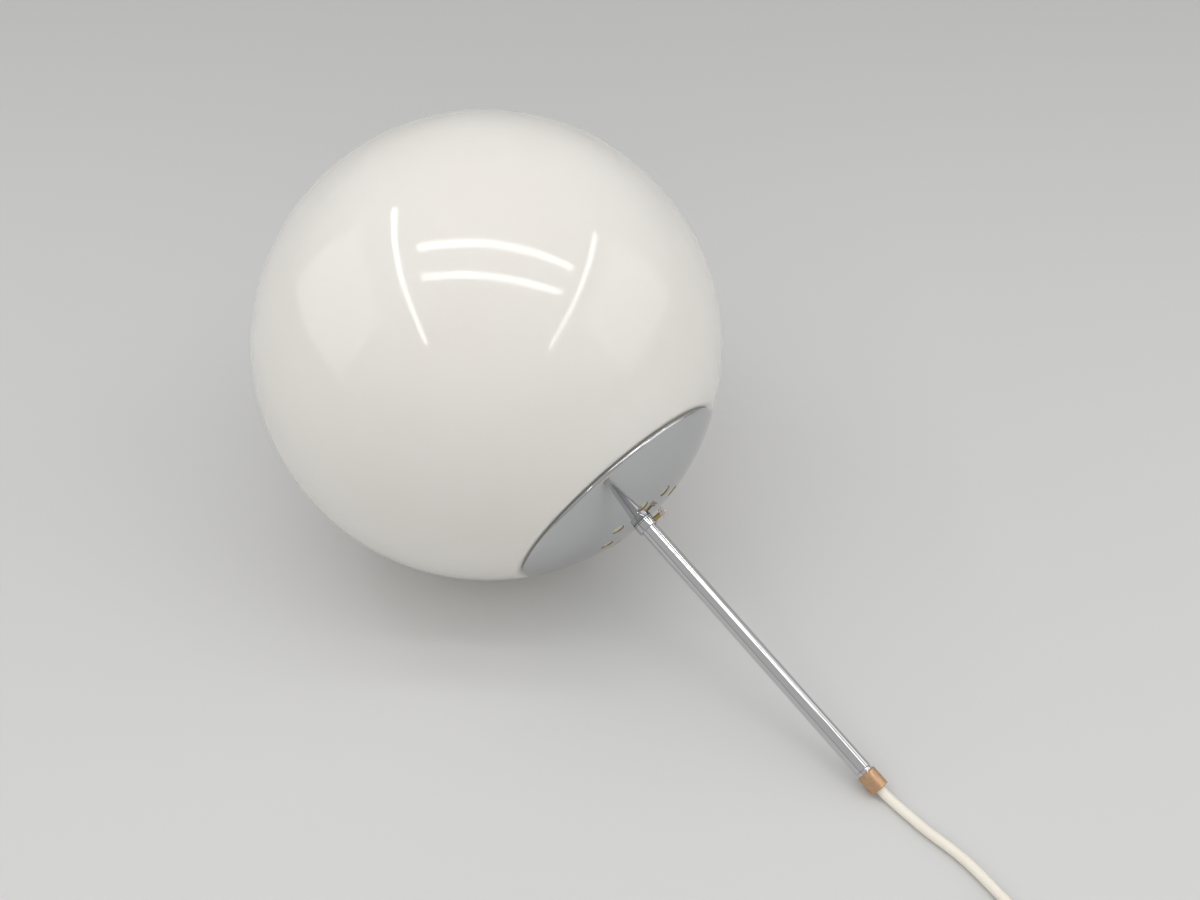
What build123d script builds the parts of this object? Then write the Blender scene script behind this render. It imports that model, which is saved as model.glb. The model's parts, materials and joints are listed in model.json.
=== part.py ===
import os
from math import acos, asin, atan2, cos, degrees, hypot, pi, radians, sin, sqrt, tan

from build123d import *

os.makedirs("parts", exist_ok=True)

# Opal glass globe lamp on a chromed stem, lying on its side with its cord on the floor.
# The pieces are drawn upright, with the globe's centre at the origin and the rod along +Z,
# and are then laid down so that the globe and the rod's end cap touch Z = 0.
# Lengths are in millimetres and angles in degrees.

# Glass globe: a blown ball, cut flat and ground at its mouth.
globe_radius = 150.0
glass_wall = 3.6
mouth_radius = 75.0
mouth_chamfer = 0.5

# Chromed cap that closes the mouth: a shallow spun dome with a turned-in rim.
cap_rise = 25.3  # from the glass's cut edge to the top of the dome
cap_overlap = 2.8  # how far the rim reaches out over the glass's edge
cap_sheet = 0.9
cap_curl = 1.8
cap_curl_turn = 189.0
cap_seat_gap = 0.3
vent_count = 8
vent_radius = 4.3
vent_ring_radius = 27.0
first_vent_angle = 19.0

# Collar on the dome, which slides on the rod, and the ring nut that holds it.
collar_radius = 7.0
collar_height = 6.6
collar_groove = 0.35
spigot_radius = 6.3
spigot_clearance = 0.05
ring_nut_radius = 10.5
ring_nut_height = 3.0
ring_nut_slot = 3.0
spigot_below_nut = 0.6

# Knurled thumb screw through the collar.
screw_angle = 125.0
screw_height = 4.4  # above the top of the dome
screw_radius = 1.5
screw_clearance = 0.05
screw_stand_off = 4.2  # bare shank between the collar and the head
screw_tip_gap = 0.1
head_radius = 3.0
head_length = 3.6
head_knurls = 16
knurl_radius = 0.35
head_groove = 0.6
head_slot_width = 0.8
head_slot_depth = 0.9

# Rod: a thin tube with a threaded lower end.
rod_radius = 5.5
rod_bore = 4.25
rod_length = 243.85
rod_clearance = 0.06
thread_radius = 5.0
thread_length = 19.0

# End of the rod: a bright bush, the brown end cap and the rubber ring that grips the cord.
bush_neck_radius = 5.1
bush_neck_length = 2.4
bush_spigot_clearance = 0.05
bush_spigot_length = 10.0
bush_thread_radius = 4.8
bush_thread_length = 5.0
end_cap_radius = 6.2
end_cap_length = 12.6
end_cap_floor = 3.6
end_cap_fillet = 0.5
end_cap_thread_clearance = 0.05
grip_ring_gap = 0.1
grip_ring_clearance = 0.05

# Three-armed folding holder that grips the glass from inside its mouth.
arm_count = 3
first_arm_angle = 0.0
pivot_drop = 23.7  # pivots below the glass's cut edge
pivot_radius = 34.0
pin_radius = 1.5
pin_clearance = 0.06
pin_head_radius = 2.4
pin_head_height = 0.9
eye_radius = 3.5
arm_sheet = 1.5
arm_root_width = 14.4
arm_tip_width = 7.0
arm_elbow_radius = 3.0
eye_gap = 6.4  # between an arm's two eyes, where its spring sits
arm_window_length = 10.0
tip_overlap = 3.4  # how far the rubber tips stand out past the mouth's edge
tip_radius = 4.0
tip_body = 6.0
tip_chamfer = 0.5
tip_gap = 0.3
tip_socket_clearance = 0.05
arm_in_tip = 4.0
arm_end_width = 4.6
elbow_below_tip = 3.3

hub_sheet = 1.6
hub_disc_radius = 26.0
hub_seat_radius = 12.0
hub_hole_radius = 6.0
hub_hole_ring = 18.0
hub_lobe_end = 46.5
hub_corner = 4.0
hub_clearance = 0.1
ear_sheet = 1.5
ear_gap = 0.3
ear_radius = 4.4
washer_radius = 11.0
washer_height = 1.6
nut_flats = 15.0
nut_height = 5.0
nut_clearance = 0.05

# Torsion springs on the pins.
wire_radius = 0.45
spring_radius = 2.75
spring_turns = 3
spring_pitch = 1.45
spring_arm_reach = 13.0
spring_hub_reach = 8.0
spring_touch_gap = 0.1

# Screw-thread lamp socket on the rod's lower end.
socket_gap = 2.5
socket_neck_radius = 8.5
socket_neck_height = 8.0
socket_shoulder = 9.0
socket_radius = 20.0
socket_wall = 2.0
socket_cap_height = 28.0
socket_height = 54.0
socket_mouth_radius = 15.4
socket_lip = 2.0
socket_joint_gap = 0.1
insert_radius = 17.6
insert_height = 14.0
insert_below_top = 19.0
insert_trench_width = 2.5
insert_trench_depth = 2.3
shell_bore = 13.75
shell_wall = 0.45
shell_length = 21.0
shell_flange_bore = 9.5
contact_width = 5.0
contact_reach = 8.0
contact_height = 1.3
contact_sheet = 0.5
terminal_offset = 8.8
terminal_size = 5.0
terminal_height = 4.6
terminal_screw_radius = 1.4
terminal_screw_head = 2.1
terminal_screw_length = 1.9
terminal_head_height = 1.3
terminal_slot = 0.8

# Bulb.
bulb_length = 105.0
bulb_radius = 30.0
bulb_glass_wall = 0.9
bulb_base_height = 26.5
bulb_base_radius = 13.1
bulb_base_wall = 0.5
bulb_thread_depth = 0.7
bulb_thread_pitch = 3.6
bulb_thread_turns = 4
bulb_insulator_height = 4.0
bulb_contact_radius = 4.0
bulb_contact_height = 1.4
bulb_contact_gap = 0.3
bulb_glass_in_base = 6.0
bulb_fit = 0.1
bulb_shoulder_drop = 4.0  # straight glass neck below the base's rim

# Cord and its cores.
cord_radius = 3.1
cord_clearance = 0.2
core_radius = 1.15
core_spread = 1.35
sheath_below_rod = 1.5
core_bend = 2.0

# The cord on the floor, from the end cap to the coil.
floor_gap = 0.05
coil_lift = 0.7  # the tie runs under the coil
coil_outer = 46.0
coil_pitch = 6.75
coil_half_turns = 6  # in each layer, besides the half turn that climbs
coil_centre = (380.0, -66.0)
coil_entry_angle = 75.0
cord_way = [(261.1, -1.0), (280.1, -2.6), (304.6, -1.9), (330.1, -6.3)]
cord_end_run = 6.2
coil_lead = 26.0
tie_width = 9.0
tie_sheet = 0.6
tie_clearance = 0.1
tie_corner = 3.0
core_tail = 30.0
core_tail_drop = 1.6
ferrule_length = 9.0
ferrule_wall = 0.25

# Heights worked out from the sizes above.
inner_radius = globe_radius - glass_wall
mouth_z = sqrt(inner_radius**2 - mouth_radius**2)
dome_top = mouth_z + cap_rise
pivot_z = mouth_z - pivot_drop
hub_bottom = pivot_z + eye_radius + ear_gap
hub_top = hub_bottom + hub_sheet
rod_shoulder = hub_top + washer_height
rod_top = rod_shoulder + rod_length
bush_top = rod_top + bush_neck_length
lamp_end = bush_top + end_cap_length
thread_end = rod_shoulder - thread_length
nut_bottom = hub_bottom - nut_height
socket_top = nut_bottom - socket_gap
insert_top = socket_top - insert_below_top
insert_bottom = insert_top - insert_height
bulb_top = insert_bottom - contact_height - bulb_contact_gap
bulb_rim = bulb_top - bulb_base_height
bulb_bottom = bulb_top - bulb_length
sheath_end = thread_end - sheath_below_rod
base_inner = bulb_base_radius - bulb_thread_depth - bulb_base_wall


def tube(outer, inner, low, high):
    return Pos(0, 0, low) * extrude(Circle(outer) - Circle(inner), high - low)


def rod_between(radius, low, high):
    return Pos(0, 0, low) * extrude(Circle(radius), high - low)


def turned_outline(points):
    """A solid of revolution about the lamp's axis, from its half outline in X and Z."""
    return revolve(make_face(Plane.XZ * Polyline(*points, close=True)), Axis.Z)


def together(shapes):
    """Separate solids of one node."""
    return Compound([solid for shape in shapes for solid in shape.solids()])


def around(count, first=0.0):
    return [first + 360.0 / count * i for i in range(count)]


def swept(path, radius):
    return sweep(Plane(origin=path @ 0, z_dir=path % 0) * Circle(radius), path=path)


# Glass globe

def glass_globe():
    ball = Sphere(globe_radius) - Sphere(inner_radius)
    glass = ball - rod_between(globe_radius, mouth_z, 2 * mouth_z)
    edges = glass.edges().filter_by(GeomType.CIRCLE).filter_by_position(
        Axis.Z, mouth_z - 0.01, mouth_z + 0.01
    )
    return chamfer(edges, mouth_chamfer)


# Cap

def dome_shape():
    """Radius and centre height of the dome, which runs tangent into the rolled rim."""
    rim_x = mouth_radius + cap_overlap - cap_curl
    rim_z = mouth_z + cap_seat_gap + cap_curl
    rise = dome_top - rim_z
    # the dome's circle holds the curl's circle inside it and touches it
    radius = ((rise**2 + rim_x**2 - cap_curl**2) / 2) / (rise - cap_curl)
    return radius, dome_top - radius, rim_x, rim_z


dome_radius, dome_centre, curl_x, curl_z = dome_shape()


def dome_height(radius, depth=0.0):
    return dome_centre + sqrt((dome_radius - depth) ** 2 - radius**2)


def cap_dome():
    hole = spigot_radius + spigot_clearance
    slope = asin(curl_x / (dome_radius - cap_curl))

    def on_dome(angle, depth):
        reach = dome_radius - depth
        return (reach * sin(angle), dome_centre + reach * cos(angle))

    def on_curl(angle, depth):
        reach = cap_curl - depth
        return (curl_x + reach * sin(angle), curl_z + reach * cos(angle))

    inner_start = asin(hole / (dome_radius - cap_sheet))
    outer_start = asin(hole / dome_radius)
    turn_end = radians(cap_curl_turn)
    middle = (slope + turn_end) / 2
    with BuildSketch(Plane.XZ) as section:
        with BuildLine():
            ThreePointArc(
                on_dome(outer_start, 0), on_dome((outer_start + slope) / 2, 0), on_dome(slope, 0)
            )
            ThreePointArc(on_curl(slope, 0), on_curl(middle, 0), on_curl(turn_end, 0))
            Line(on_curl(turn_end, 0), on_curl(turn_end, cap_sheet))
            ThreePointArc(
                on_curl(turn_end, cap_sheet), on_curl(middle, cap_sheet), on_curl(slope, cap_sheet)
            )
            ThreePointArc(
                on_dome(slope, cap_sheet),
                on_dome((inner_start + slope) / 2, cap_sheet),
                on_dome(inner_start, cap_sheet),
            )
            Line(on_dome(inner_start, cap_sheet), on_dome(outer_start, 0))
        make_face()
    dome = revolve(section.sketch, Axis.Z)
    lean = asin(vent_ring_radius / dome_radius)
    drill = Pos(0, 0, dome_radius) * Cylinder(vent_radius, 8 * cap_sheet)
    for angle in around(vent_count, first_vent_angle):
        dome -= Pos(0, 0, dome_centre) * Rot(0, 0, angle) * Rot(0, degrees(lean), 0) * drill
    return dome


def cap_collar():
    bore = rod_radius + rod_clearance
    nut_top = dome_height(ring_nut_radius, cap_sheet) - spigot_clearance
    low = nut_top - ring_nut_height - spigot_below_nut
    top = dome_top + collar_height
    body = tube(collar_radius, bore, dome_top, top) + tube(spigot_radius, bore, low, dome_top)
    body = chamfer(
        body.edges().filter_by(GeomType.CIRCLE).filter_by_position(Axis.Z, top - 0.01, top + 0.01),
        collar_groove,
    )
    return body - screw_hole(screw_radius + screw_clearance)


def screw_axis():
    return Rot(0, 0, screw_angle) * Pos(0, 0, dome_top + screw_height) * Rot(0, 90, 0)


def screw_hole(radius):
    return screw_axis() * rod_between(radius, rod_radius / 2, collar_radius * 2)


def cap_ring_nut():
    top = dome_height(ring_nut_radius, cap_sheet) - spigot_clearance
    low = top - ring_nut_height
    nut = tube(ring_nut_radius, spigot_radius + spigot_clearance, low, top)
    for angle in (0, 90):
        slot = Box(3 * ring_nut_radius, ring_nut_slot, ring_nut_height / 2)
        nut -= Pos(0, 0, low + ring_nut_height / 4) * Rot(0, 0, angle) * slot
    return nut


def thumb_screw():
    head_low = collar_radius + screw_stand_off
    head_high = head_low + head_length
    shank = rod_between(screw_radius, rod_radius + screw_tip_gap, head_low)
    head = rod_between(head_radius, head_low, head_high)
    groove = tube(2 * head_radius, head_radius - knurl_radius, -head_groove / 2, head_groove / 2)
    head -= Pos(0, 0, head_low + head_length / 2) * groove
    knurl = rod_between(knurl_radius, head_low - 1, head_high + 1)
    for angle in around(head_knurls):
        head -= Rot(0, 0, angle) * Pos(head_radius, 0, 0) * knurl
    slot = Box(3 * head_radius, head_slot_width, 2 * head_slot_depth)
    head -= Pos(0, 0, head_high) * slot
    return screw_axis() * (shank + head)


# Rod and its upper end

def rod_tube():
    thick = tube(rod_radius, rod_bore, rod_shoulder, rod_top)
    thin = tube(thread_radius, rod_bore, thread_end, rod_shoulder)
    rod = thick + thin
    return chamfer(
        rod.edges().filter_by(GeomType.CIRCLE).filter_by_position(Axis.Z, rod_top - 0.01, rod_top + 0.01),
        (rod_radius - rod_bore) / 4,
    )


def rod_end_bush():
    bore = cord_radius + cord_clearance
    spigot = rod_bore - bush_spigot_clearance
    body = tube(spigot, bore, rod_top - bush_spigot_length, rod_top)
    body += tube(bush_neck_radius, bore, rod_top, bush_top)
    return body + tube(bush_thread_radius, bore, bush_top, bush_top + bush_thread_length)


def rod_end_cap():
    cap = rod_between(end_cap_radius, bush_top, lamp_end)
    rims = cap.edges().filter_by(GeomType.CIRCLE)
    cap = fillet(rims, end_cap_fillet)
    cap -= rod_between(bush_thread_radius + end_cap_thread_clearance, bush_top - 1, lamp_end - end_cap_floor)
    return cap - rod_between(cord_radius + cord_clearance, bush_top, lamp_end + 1)


def cord_grip_ring():
    low = bush_top + bush_thread_length + grip_ring_gap
    high = lamp_end - end_cap_floor - grip_ring_gap
    outer = bush_thread_radius + end_cap_thread_clearance - grip_ring_clearance
    return tube(outer, cord_radius + grip_ring_clearance, low, high)


# Holder

tip_reach = inner_radius - tip_radius - tip_gap
tip_x = mouth_radius + tip_overlap
tip_z = sqrt(tip_reach**2 - tip_x**2)
tip_lean = atan2(tip_x, tip_z)
back = tip_body + elbow_below_tip
elbow = (tip_x - back * sin(tip_lean), tip_z - back * cos(tip_lean))
arm_slope = atan2(elbow[1] - pivot_z, elbow[0] - pivot_radius)
hub_lobe_width = arm_root_width + 2 * ear_gap + 2 * ear_sheet


def holder_hub():
    plan = Circle(hub_disc_radius)
    for angle in around(arm_count, first_arm_angle):
        lobe = Pos(hub_lobe_end / 2, 0) * Rectangle(hub_lobe_end, hub_lobe_width)
        plan += Rot(0, 0, angle) * lobe
    between = (hub_disc_radius + hub_lobe_end) / 2
    plan = fillet(plan.vertices().filter_by(lambda v: hypot(v.X, v.Y) < between), hub_corner)
    plan = fillet(plan.vertices().filter_by(lambda v: hypot(v.X, v.Y) > between), hub_corner / 2)
    plan -= Circle(thread_radius + hub_clearance)
    for angle in around(arm_count, first_arm_angle + 180 / arm_count):
        plan -= Rot(0, 0, angle) * Pos(hub_hole_ring, 0) * Circle(hub_hole_radius)
    hub = Pos(0, 0, hub_bottom) * extrude(plan, hub_sheet)
    for angle in around(arm_count, first_arm_angle):
        for side in (-1, 1):
            hub += Rot(0, 0, angle) * hub_ear(side)
    return hub


def hub_ear(side):
    height = hub_bottom - pivot_z
    plan = Circle(ear_radius) + Pos(0, (height + hub_sheet / 2) / 2) * Rectangle(
        2 * ear_radius, height + hub_sheet / 2
    )
    plan -= Circle(pin_radius + pin_clearance)
    inner = side * (arm_root_width / 2 + ear_gap)
    plane = Plane(origin=(pivot_radius, inner, pivot_z), x_dir=(1, 0, 0), z_dir=(0, -1, 0))
    return extrude(plane * plan, -side * ear_sheet)


def holder_pins():
    reach = hub_lobe_width / 2
    shaft = rod_between(pin_radius, -reach - pin_head_height, reach)
    head = Pos(0, 0, reach) * extrude(Circle(pin_head_radius), pin_head_height)
    tail = Pos(0, 0, -reach - pin_head_height) * extrude(Circle(pin_head_radius), pin_head_height)
    pin = shaft + head + tail
    return together(
        Rot(0, 0, angle) * Pos(pivot_radius, 0, pivot_z) * Rot(-90, 0, 0) * pin
        for angle in around(arm_count, first_arm_angle)
    )


def arm_outline():
    """The arm's strip seen from the side, from its pivot to the end inside the rubber tip."""
    end_back = tip_body - arm_in_tip
    end = (tip_x - end_back * sin(tip_lean), tip_z - end_back * cos(tip_lean))
    path = FilletPolyline((pivot_radius, pivot_z), elbow, end, radius=arm_elbow_radius)
    return Plane.XZ * path


def holder_arm(angle):
    path = arm_outline()
    strip = sweep(
        Plane(origin=path @ 0, z_dir=path % 0, x_dir=(0, 1, 0)) * Rectangle(arm_root_width, arm_sheet),
        path=path,
    )
    root = pivot_radius + arm_window_length
    taper = Polyline(
        (pivot_radius - eye_radius, arm_root_width / 2),
        (root, arm_root_width / 2),
        (elbow[0] - arm_elbow_radius, arm_tip_width / 2),
        (elbow[0] + arm_elbow_radius / 2, arm_end_width / 2),
        (tip_x, arm_end_width / 2),
        (tip_x, -arm_end_width / 2),
        (elbow[0] + arm_elbow_radius / 2, -arm_end_width / 2),
        (elbow[0] - arm_elbow_radius, -arm_tip_width / 2),
        (root, -arm_root_width / 2),
        (pivot_radius - eye_radius, -arm_root_width / 2),
        close=True,
    )
    strip &= Pos(0, 0, pivot_z - tip_z) * extrude(make_face(taper), 3 * tip_z)
    eye = Pos(pivot_radius, 0, pivot_z) * Rot(-90, 0, 0) * Cylinder(eye_radius, arm_root_width)
    arm = strip + eye
    window = Box(2 * arm_window_length, eye_gap, 4 * eye_radius)
    arm -= Pos(pivot_radius, 0, pivot_z) * Rot(0, -degrees(arm_slope), 0) * window
    hole = Rot(-90, 0, 0) * Cylinder(pin_radius + pin_clearance, 2 * arm_root_width)
    arm -= Pos(pivot_radius, 0, pivot_z) * hole
    return Rot(0, 0, angle) * arm


def arm_tip(angle):
    """Rubber tip: a short round sleeve with a domed end that touches the glass."""
    sleeve = rod_between(tip_radius, -tip_body, 0) + Sphere(tip_radius)
    sleeve = chamfer(sleeve.edges().sort_by(Axis.Z)[0], tip_chamfer)
    slot = Box(
        arm_sheet + 2 * tip_socket_clearance,
        arm_end_width + 2 * tip_socket_clearance,
        2 * arm_in_tip + 2 * tip_socket_clearance,
    )
    sleeve -= Pos(0, 0, -tip_body) * slot
    place = Rot(0, 0, angle) * Pos(tip_x, 0, tip_z) * Rot(0, degrees(tip_lean), 0)
    return place * sleeve


def arm_spring(angle):
    """Torsion spring on the pin: one leg lifts the arm, the other bears under the hub."""
    slope = degrees(arm_slope)
    lift = arm_sheet / 2 + wire_radius + spring_touch_gap
    start = slope + degrees(
        atan2(-lift, spring_arm_reach) - acos(spring_radius / hypot(lift, spring_arm_reach))
    )
    under = eye_radius + ear_gap - wire_radius - spring_touch_gap
    finish = degrees(atan2(under, -spring_hub_reach) - acos(spring_radius / hypot(under, spring_hub_reach)))
    turn = (start - finish) % 360 + 360 * (spring_turns - 1)
    height = spring_pitch * turn / 360
    coil = Helix(spring_pitch, height, spring_radius)
    first_leg = sqrt(spring_arm_reach**2 + lift**2 - spring_radius**2)
    last_leg = sqrt(spring_hub_reach**2 + under**2 - spring_radius**2)
    wire = Wire(
        [
            Line(coil @ 0 - (coil % 0) * first_leg, coil @ 0).edge(),
            coil.edge(),
            Line(coil @ 1, coil @ 1 + (coil % 1) * last_leg).edge(),
        ]
    )
    spring = Pos(0, 0, -height / 2) * swept(wire, wire_radius)
    upright = Pos(pivot_radius, 0, pivot_z) * Rot(90, 0, 0) * Rot(0, 0, start) * Rot(180, 0, 0)
    return Rot(0, 0, angle) * upright * spring


def holder_washer():
    return tube(washer_radius, thread_radius + hub_clearance, hub_top, rod_shoulder)


def holder_nut():
    nut = RegularPolygon(nut_flats / 2, 6, major_radius=False) - Circle(thread_radius + nut_clearance)
    return Pos(0, 0, nut_bottom) * extrude(nut, nut_height)


# Socket

def socket_cap():
    low = socket_top - socket_cap_height
    shoulder_z = socket_top - socket_neck_height
    side_z = shoulder_z - socket_shoulder
    bore = thread_radius + nut_clearance
    hollow = socket_radius - socket_wall
    return turned_outline(
        [
            (bore, socket_top),
            (socket_neck_radius, socket_top),
            (socket_neck_radius, shoulder_z),
            (socket_radius, side_z),
            (socket_radius, low),
            (hollow, low),
            (hollow, side_z - socket_wall / 2),
            (socket_neck_radius, shoulder_z - socket_wall),
            (bore, shoulder_z - socket_wall),
        ]
    )


def socket_skirt():
    high = socket_top - socket_cap_height - socket_joint_gap
    low = socket_top - socket_height
    hollow = socket_radius - socket_wall
    return turned_outline(
        [
            (hollow, high),
            (socket_radius, high),
            (socket_radius, low + socket_lip),
            (socket_radius - socket_lip / 2, low),
            (socket_mouth_radius, low),
            (socket_mouth_radius, low + socket_lip),
            (hollow, low + socket_lip),
        ]
    )


def socket_insert():
    body = rod_between(insert_radius, insert_bottom, insert_top)
    trench = Box(2 * insert_radius, insert_trench_width, 2 * insert_trench_depth)
    return body - Pos(0, 0, insert_bottom) * trench


def socket_thread_shell():
    outer = shell_bore + shell_wall
    wall = tube(outer, shell_bore, insert_bottom - shell_length, insert_bottom)
    return wall + tube(outer, shell_flange_bore, insert_bottom - shell_wall, insert_bottom)


def socket_centre_contact():
    """Bent brass tongue under the insert, which presses on the bulb's tip."""
    half = contact_reach
    low = insert_bottom - contact_height
    centre_line = Plane.XZ * Polyline(
        (-half, insert_bottom - contact_sheet / 2),
        (-half / 2, insert_bottom - contact_sheet / 2),
        (-half / 8, low + contact_sheet / 2),
        (half / 2, low + contact_sheet / 2),
    )
    across = Plane(origin=centre_line @ 0, z_dir=(1, 0, 0), x_dir=(0, 1, 0))
    section = across * Rectangle(contact_width, contact_sheet)
    return sweep(section, path=centre_line, transition=Transition.RIGHT)


def socket_terminals():
    block = Box(terminal_size, terminal_size, terminal_height, align=(Align.CENTER, Align.CENTER, Align.MIN))
    block -= rod_between(terminal_screw_radius + screw_clearance, terminal_height / 2, terminal_height + 1)
    return together(Pos(side * terminal_offset, 0, insert_top) * block for side in (-1, 1))


def terminal_screws():
    top = terminal_height + terminal_head_height
    screw = rod_between(terminal_screw_radius, terminal_height - terminal_screw_length, top)
    screw += rod_between(terminal_screw_head, terminal_height, top)
    screw -= Pos(0, 0, top) * Box(3 * terminal_screw_head, terminal_slot, terminal_slot)
    return together(Pos(side * terminal_offset, 0, insert_top) * screw for side in (-1, 1))


# Bulb

def bulb_outline(depth):
    """Half outline of the blown bulb at a depth below its surface, from its tip to its neck."""
    ball = bulb_radius - depth
    neck = base_inner - bulb_fit - depth
    centre = bulb_bottom + bulb_radius
    top = bulb_rim + bulb_glass_in_base
    # the shoulder's arc touches the ball from outside and the neck's straight side
    shoulder_z = bulb_rim - bulb_shoulder_drop
    drop = shoulder_z - centre
    shoulder = (drop**2 + neck**2 - ball**2) / (2 * (ball - neck))
    lean = atan2(neck + shoulder, drop)
    touch = (ball * sin(lean), centre + ball * cos(lean))
    shoulder_mid = (lean + pi / 2) / 2
    middle = (
        neck + shoulder - shoulder * sin(shoulder_mid),
        shoulder_z - shoulder * cos(shoulder_mid),
    )
    side = (pi + lean) / 2
    return [
        ((0, centre - ball), (ball * sin(side), centre + ball * cos(side)), touch),
        (touch, middle, (neck, shoulder_z)),
        ((neck, shoulder_z), (neck, top)),
    ]


def bulb_glass():
    outer, inner = bulb_outline(0.0), bulb_outline(bulb_glass_wall)
    with BuildSketch(Plane.XZ) as section:
        with BuildLine():
            for run in outer + inner:
                if len(run) == 3:
                    ThreePointArc(*run)
                else:
                    Line(*run)
            Line(outer[-1][1], inner[-1][1])
            Line(outer[0][0], inner[0][0])
        make_face()
    return revolve(section.sketch, Axis.Z)


def bulb_base():
    """Rolled thread cap: round ribs on the outside, hollow inside."""
    rib_top = bulb_top - bulb_contact_height - bulb_insulator_height
    core = bulb_base_radius - bulb_thread_depth
    first = rib_top - (bulb_thread_turns + 0.5) * bulb_thread_pitch
    with BuildSketch(Plane.XZ) as section:
        with BuildLine():
            Polyline((base_inner, rib_top), (base_inner, bulb_rim), (core, bulb_rim), (core, first))
            for turn in range(bulb_thread_turns):
                low = first + turn * bulb_thread_pitch
                high = low + bulb_thread_pitch
                ThreePointArc((core, low), (bulb_base_radius, (low + high) / 2), (core, high))
            top_rib = first + bulb_thread_turns * bulb_thread_pitch
            Polyline((core, top_rib), (core, rib_top), (base_inner, rib_top))
        make_face()
    return revolve(section.sketch, Axis.Z)


def bulb_insulator():
    low = bulb_top - bulb_contact_height - bulb_insulator_height
    core = bulb_base_radius - bulb_thread_depth
    cone = Pos(0, 0, low) * extrude(Circle(core), bulb_insulator_height, taper=45)
    return cone


def bulb_contact():
    return rod_between(bulb_contact_radius, bulb_top - bulb_contact_height, bulb_top)


# Cord inside the lamp

def rod_cord():
    return rod_between(cord_radius, sheath_end, lamp_end)


def lamp_cores():
    level = insert_top + terminal_height / 2
    side = terminal_offset - terminal_size / 2
    cores = []
    for way in (-1, 1):
        path = FilletPolyline(
            (way * core_spread, 0, sheath_end),
            (way * core_spread, 0, level),
            (way * side, 0, level),
            radius=core_bend,
        )
        cores.append(swept(path, core_radius))
    return together(cores)


# Laying the lamp down

def tilt():
    """Angle between the rod and the floor when the globe and the end cap's edge touch it."""
    reach = lamp_end - end_cap_fillet
    edge = end_cap_radius - end_cap_fillet
    return asin((globe_radius - end_cap_fillet) / hypot(reach, edge)) - atan2(edge, reach)


lean = tilt()
far_x = (
    (lamp_end - end_cap_fillet) * cos(lean)
    + (end_cap_radius - end_cap_fillet) * sin(lean)
    + end_cap_fillet
)
globe_x = globe_radius - (globe_radius + far_x) / 2
laid = Pos(globe_x, 0, globe_radius) * Rot(0, 90 + degrees(lean), 0)


# Cord on the floor

cord_z = cord_radius + floor_gap
coil_z = cord_radius + coil_lift
exit_x = globe_x + lamp_end * cos(lean)
exit_z = globe_radius - lamp_end * sin(lean)
touchdown = (exit_z - cord_z) / tan(lean)
entry = radians(coil_entry_angle)
heading = (sin(entry), -cos(entry))


def coil_start():
    x = coil_centre[0] + coil_outer * cos(entry)
    y = coil_centre[1] + coil_outer * sin(entry)
    return x - cord_end_run * heading[0], y - cord_end_run * heading[1]


def cord_route():
    end_x, end_y = coil_start()
    return [
        (exit_x, 0, exit_z),
        (exit_x + touchdown, 0, cord_z),
        *[(x, y, cord_z) for x, y in cord_way],
        (end_x - coil_lead * heading[0], end_y - coil_lead * heading[1], coil_z),
        (end_x, end_y, coil_z),
    ]


def bend_radii(points):
    radii = []
    for before, here, after in zip(points, points[1:], points[2:]):
        first, second = Vector(here) - Vector(before), Vector(after) - Vector(here)
        turn = radians(first.get_angle(second))
        radii.append(0.45 * min(first.length, second.length) / tan(turn / 2))
    return radii


def mains_cord():
    points = cord_route()
    radii = bend_radii(points)
    path = FilletPolyline(*points, radius=radii)
    solid = swept(path, cord_radius)
    print("cord radii", [round(r, 1) for r in radii], "length", round(path.length, 1))
    print("cord volume", round(solid.volume), "section times length", round(pi * cord_radius**2 * path.length))
    return solid


def coil_turns():
    """Half turns of the coil: in along the lower layer, up at the middle, out along the upper."""
    inward = [coil_outer - coil_pitch / 2 * k for k in range(coil_half_turns)]
    middle = coil_outer - coil_pitch / 2 * coil_half_turns
    return inward, middle, inward[::-1]


def coil_path():
    inward, middle, outward = coil_turns()
    start_x, start_y = coil_start()
    x, y = start_x + cord_end_run * heading[0], start_y + cord_end_run * heading[1]
    dx, dy = heading
    edges = [Line((start_x, start_y, coil_z), (x, y, coil_z))]
    z = coil_z
    for radius in inward + [middle] + outward:
        # clockwise seen from above: the centre lies to the right of the heading
        cx, cy = x + radius * dy, y - radius * dx
        end = (2 * cx - x, 2 * cy - y)
        climbing = radius == middle
        rise = coil_pitch if climbing else 0.0
        reach = sqrt(radius**2 + rise**2 / 4)
        top = (cx + reach * dx, cy + reach * dy, z + rise / 2)
        if climbing:
            half = TangentArc((x, y, z), top, tangent=(dx, dy, 0))
            edges += [half, TangentArc(top, (*end, z + rise), tangent=half % 1)]
        else:
            edges.append(ThreePointArc((x, y, z), top, (*end, z)))
        x, y, z = *end, z + rise
        dx, dy = -dx, -dy
    edges.append(Line((x, y, z), (x + cord_end_run * dx, y + cord_end_run * dy, z)))
    return edges, (x + cord_end_run * dx, y + cord_end_run * dy, z), (dx, dy)


def least_self_gap(path, samples=1500):
    points = [path @ (i / samples) for i in range(samples + 1)]
    step = path.length / samples
    apart = int(4 * coil_pitch / step)
    least = min(
        (points[i] - points[j]).length
        for i in range(0, samples, 3)
        for j in range(i + apart, samples + 1)
    )
    return least - 2 * cord_radius


def cord_coil():
    edges, _, _ = coil_path()
    path = Wire([e.edge() for e in edges])
    solid = swept(path, cord_radius)
    print("coil length", round(path.length, 1), "least gap to itself", round(least_self_gap(path), 2))
    return solid


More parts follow.
